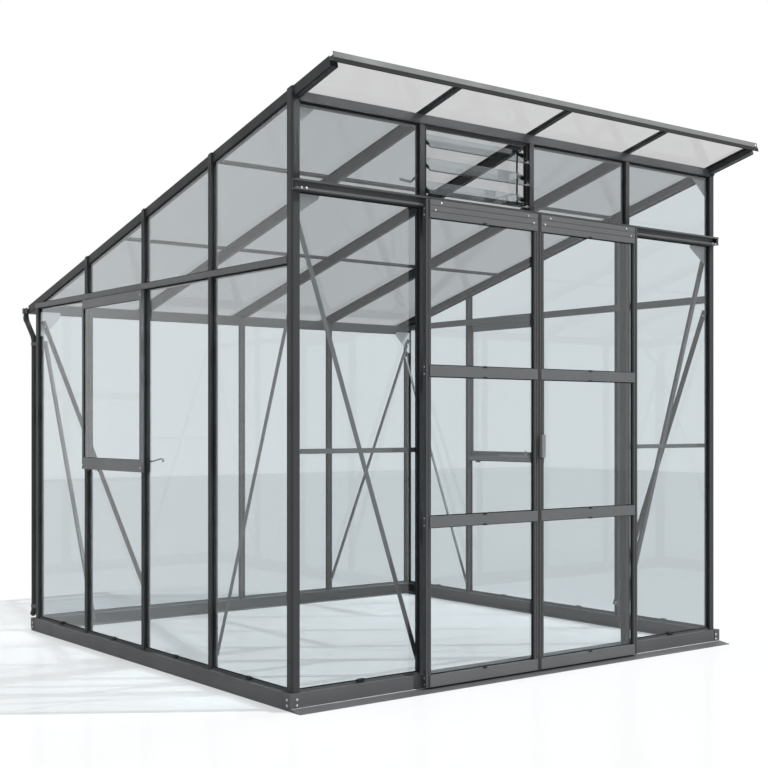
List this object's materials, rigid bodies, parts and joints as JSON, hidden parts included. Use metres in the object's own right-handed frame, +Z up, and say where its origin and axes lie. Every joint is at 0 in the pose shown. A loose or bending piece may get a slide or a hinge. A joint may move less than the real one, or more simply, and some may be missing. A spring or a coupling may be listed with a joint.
{
  "type": "glass greenhouse",
  "caption": "Walk-in greenhouse with a single-pitch glass roof, dark powder-coated aluminium bars, sliding doors, side windows, a louvre window, a gutter and a downpipe.",
  "frame": {"origin": "On the ground, under the middle of the overall box from the roof's front cap to the gutter.", "axes": "+X to the right seen from the front, +Y from the door side to the gutter side, +Z up."},
  "size_m": [2.574, 2.9966, 2.4897],
  "materials": {
    "base_paint": "anthracite grey powder coat, satin",
    "frame_paint": "anthracite grey powder coat, satin",
    "clear_glass": "clear toughened float glass, polished",
    "black_plastic": "moulded black plastic, matt",
    "bright_zinc": "zinc-plated steel"
  },
  "bodies": {
    "frame": {"base_front": "base_paint", "base_back": "base_paint", "base_left": "base_paint", "base_right": "base_paint", "base_corner_plates": "base_paint", "door_sill": "base_paint", "front_corner_posts": "frame_paint", "back_corner_posts": "frame_paint", "front_posts": "frame_paint", "left_wall_posts": "frame_paint", "right_wall_posts": "frame_paint", "back_wall_posts": "frame_paint", "eave_rails": "frame_paint", "back_eave_beam": "frame_paint", "front_head_beam": "frame_paint", "front_transoms": "frame_paint", "door_track": "frame_paint", "front_mid_bars": "frame_paint", "gable_rafters": "frame_paint", "inner_rafters": "frame_paint", "roof_cross_strips": "frame_paint", "roof_front_cap": "frame_paint", "gutter": "frame_paint", "downpipe": "frame_paint", "downpipe_clips": "black_plastic", "wall_braces": "frame_paint", "corner_gussets": "frame_paint", "front_fixed_panes": "clear_glass", "front_upper_panes": "clear_glass", "left_panes": "clear_glass", "right_panes": "clear_glass", "gable_panes": "clear_glass", "back_panes": "clear_glass", "roof_panes": "clear_glass", "window_frames": "frame_paint", "window_panes": "clear_glass", "window_sill_bars": "frame_paint", "window_stays": "bright_zinc", "louvre_frame": "black_plastic", "louvre_blades": "clear_glass"},
    "left_door": {"left_door_stiles": "frame_paint", "left_door_rails": "frame_paint", "left_door_panes": "clear_glass", "left_door_rollers": "black_plastic"},
    "right_door": {"right_door_stiles": "frame_paint", "right_door_rails": "frame_paint", "right_door_panes": "clear_glass", "right_door_rollers": "black_plastic", "door_handle": "black_plastic"}
  },
  "joints": [
    {"name": "left_door_slide", "type": "slide", "parent": "frame", "child": "left_door", "axis": [-1, 0, 0], "range_m": [0, 0.612]},
    {"name": "right_door_slide", "type": "slide", "parent": "frame", "child": "right_door", "axis": [1, 0, 0], "range_m": [0, 0.612]}
  ]
}
